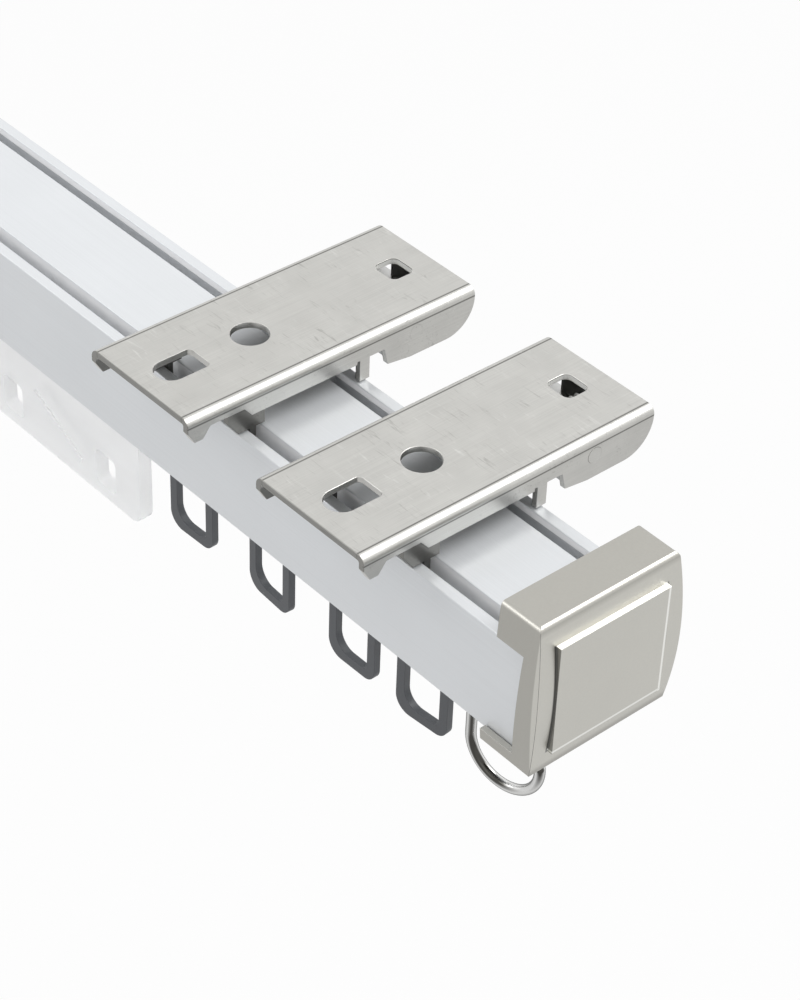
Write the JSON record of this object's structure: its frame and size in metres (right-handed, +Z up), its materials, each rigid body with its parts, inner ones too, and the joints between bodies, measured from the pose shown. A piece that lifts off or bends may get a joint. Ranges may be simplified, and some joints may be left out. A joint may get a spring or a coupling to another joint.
{
  "type": "curtain track",
  "caption": "Straight ceiling curtain track: aluminium rail in sprung clip brackets, wheeled runners with hanging rings, a lead carrier, and end caps with wire hooks.",
  "frame": {"origin": "centre of the right-hand bracket's screw hole, in the bracket's top face, which meets the ceiling; the track's centre plane is at Y = 1.5 mm", "axes": "+X along the rail towards the end cap that the picture shows, +Y from the room towards the wall, +Z up"},
  "size_m": [0.4035, 0.064, 0.0647],
  "materials": {
    "rail": "satin extruded aluminium",
    "end_cap": "satin nickel casting",
    "bracket": "stamped steel, satin with fine scratches",
    "latch": "stamped steel, satin",
    "spring": "drawn spring wire",
    "pins": "bright plated steel",
    "screws": "dark steel grub screw",
    "ring": "dark grey moulded plastic",
    "end_stop": "dark grey moulded plastic",
    "hook": "polished bent wire",
    "hanger": "frosted translucent moulded plastic",
    "runner": "white low-friction plastic"
  },
  "bodies": {
    "track": {"rail": "rail", "end_cap_right": "end_cap", "end_cap_left": "end_cap", "end_stop_right": "end_stop", "clamp_screw_right": "screws", "end_stop_left": "end_stop", "clamp_screw_left": "screws"},
    "bracket_2": {"bracket_2_plate": "bracket", "bracket_2_latch_pin": "pins", "bracket_2_spring": "spring"},
    "bracket_2_latch": {"bracket_2_latch": "latch"},
    "bracket_1": {"bracket_1_plate": "bracket", "bracket_1_latch_pin": "pins", "bracket_1_spring": "spring"},
    "bracket_1_latch": {"bracket_1_latch": "latch"},
    "runner_1": {"runner_1_body": "runner"},
    "runner_1_wheelset": {"runner_1_axle": "pins", "runner_1_wheel_front": "runner", "runner_1_wheel_back": "runner"},
    "runner_1_ring": {"runner_1_ring": "ring"},
    "runner_2": {"runner_2_body": "runner"},
    "runner_2_wheelset": {"runner_2_axle": "pins", "runner_2_wheel_front": "runner", "runner_2_wheel_back": "runner"},
    "runner_2_ring": {"runner_2_ring": "ring"},
    "runner_3": {"runner_3_body": "runner"},
    "runner_3_wheelset": {"runner_3_axle": "pins", "runner_3_wheel_front": "runner", "runner_3_wheel_back": "runner"},
    "runner_3_ring": {"runner_3_ring": "ring"},
    "runner_4": {"runner_4_body": "runner"},
    "runner_4_wheelset": {"runner_4_axle": "pins", "runner_4_wheel_front": "runner", "runner_4_wheel_back": "runner"},
    "runner_4_ring": {"runner_4_ring": "ring"},
    "lead_carrier": {"lead_carrier_body": "runner", "lead_carrier_hanger": "hanger", "lead_carrier_rivets": "pins"},
    "lead_carrier_wheelset_right": {"lead_carrier_axle_right": "pins", "lead_carrier_wheels_right": "runner"},
    "lead_carrier_wheelset_left": {"lead_carrier_axle_left": "pins", "lead_carrier_wheels_left": "runner"},
    "end_hook_right": {"end_hook_right": "hook"},
    "end_hook_left": {"end_hook_left": "hook"}
  },
  "joints": [
    {"name": "bracket_2_slide", "type": "slide", "parent": "track", "child": "bracket_2", "axis": [1, 0, 0], "range_m": [-0.0088, 0.0199]},
    {"name": "bracket_2_latch_slide", "type": "slide", "parent": "bracket_2", "child": "bracket_2_latch", "axis": [0, 1, 0], "range_m": [-0.0012, 0], "stiffness_N_per_m": 500, "springref_m": 0.003, "deforming": ["bracket_2_spring"]},
    {"name": "bracket_1_slide", "type": "slide", "parent": "track", "child": "bracket_1", "axis": [1, 0, 0], "range_m": [-0.289, 0.0088]},
    {"name": "bracket_1_latch_slide", "type": "slide", "parent": "bracket_1", "child": "bracket_1_latch", "axis": [0, 1, 0], "range_m": [-0.0012, 0], "stiffness_N_per_m": 500, "springref_m": 0.003, "deforming": ["bracket_1_spring"]},
    {"name": "runner_1_slide", "type": "slide", "parent": "track", "child": "runner_1", "axis": [1, 0, 0], "range_m": [-0.0045, 0.005]},
    {"name": "runner_1_roll", "type": "hinge", "parent": "runner_1", "child": "runner_1_wheelset", "pos_m": [-0.0642, 0.0015, -0.0245], "axis": [0, 1, 0], "range_deg": [-90, 90]},
    {"name": "runner_1_swivel", "type": "hinge", "parent": "runner_1", "child": "runner_1_ring", "pos_m": [-0.0642, 0.0015, -0.0365], "axis": [0, 0, 1], "continuous": true},
    {"name": "runner_2_slide", "type": "slide", "parent": "track", "child": "runner_2", "axis": [1, 0, 0], "range_m": [-0.005, 0.005]},
    {"name": "runner_2_roll", "type": "hinge", "parent": "runner_2", "child": "runner_2_wheelset", "pos_m": [-0.0407, 0.0015, -0.0245], "axis": [0, 1, 0], "range_deg": [-90, 90]},
    {"name": "runner_2_swivel", "type": "hinge", "parent": "runner_2", "child": "runner_2_ring", "pos_m": [-0.0407, 0.0015, -0.0365], "axis": [0, 0, 1], "continuous": true},
    {"name": "runner_3_slide", "type": "slide", "parent": "track", "child": "runner_3", "axis": [1, 0, 0], "range_m": [-0.005, 0.0029]},
    {"name": "runner_3_roll", "type": "hinge", "parent": "runner_3", "child": "runner_3_wheelset", "pos_m": [-0.0172, 0.0015, -0.0245], "axis": [0, 1, 0], "range_deg": [-90, 90]},
    {"name": "runner_3_swivel", "type": "hinge", "parent": "runner_3", "child": "runner_3_ring", "pos_m": [-0.0172, 0.0015, -0.0365], "axis": [0, 0, 1], "continuous": true},
    {"name": "runner_4_slide", "type": "slide", "parent": "track", "child": "runner_4", "axis": [1, 0, 0], "range_m": [-0.0029, 0.0025]},
    {"name": "runner_4_roll", "type": "hinge", "parent": "runner_4", "child": "runner_4_wheelset", "pos_m": [0.0018, 0.0015, -0.0245], "axis": [0, 1, 0], "range_deg": [-90, 90]},
    {"name": "runner_4_swivel", "type": "hinge", "parent": "runner_4", "child": "runner_4_ring", "pos_m": [0.0018, 0.0015, -0.0365], "axis": [0, 0, 1], "continuous": true},
    {"name": "lead_carrier_slide", "type": "slide", "parent": "track", "child": "lead_carrier", "axis": [1, 0, 0], "range_m": [-0.158, 0.0042]},
    {"name": "lead_carrier_roll_right", "type": "hinge", "parent": "lead_carrier", "child": "lead_carrier_wheelset_right", "pos_m": [-0.0974, 0.0015, -0.0245], "axis": [0, 1, 0], "range_deg": [-2460, 80]},
    {"name": "lead_carrier_roll_left", "type": "hinge", "parent": "lead_carrier", "child": "lead_carrier_wheelset_left", "pos_m": [-0.1474, 0.0015, -0.0245], "axis": [0, 1, 0], "range_deg": [-2460, 80]},
    {"name": "end_hook_right_swivel", "type": "hinge", "parent": "track", "child": "end_hook_right", "pos_m": [0.0139, 0.0015, -0.03], "axis": [0, 0, 1], "range_deg": [-80, 80]},
    {"name": "end_hook_left_swivel", "type": "hinge", "parent": "track", "child": "end_hook_left", "pos_m": [-0.3283, 0.0015, -0.03], "axis": [0, 0, 1], "range_deg": [-80, 80]}
  ],
  "couplings": [
    {"joint": "runner_1_roll", "follows": "runner_1_slide", "rad_per_m": 270.27},
    {"joint": "runner_2_roll", "follows": "runner_2_slide", "rad_per_m": 270.27},
    {"joint": "runner_3_roll", "follows": "runner_3_slide", "rad_per_m": 270.27},
    {"joint": "runner_4_roll", "follows": "runner_4_slide", "rad_per_m": 270.27},
    {"joint": "lead_carrier_roll_right", "follows": "lead_carrier_slide", "rad_per_m": 270.27},
    {"joint": "lead_carrier_roll_left", "follows": "lead_carrier_slide", "rad_per_m": 270.27}
  ]
}
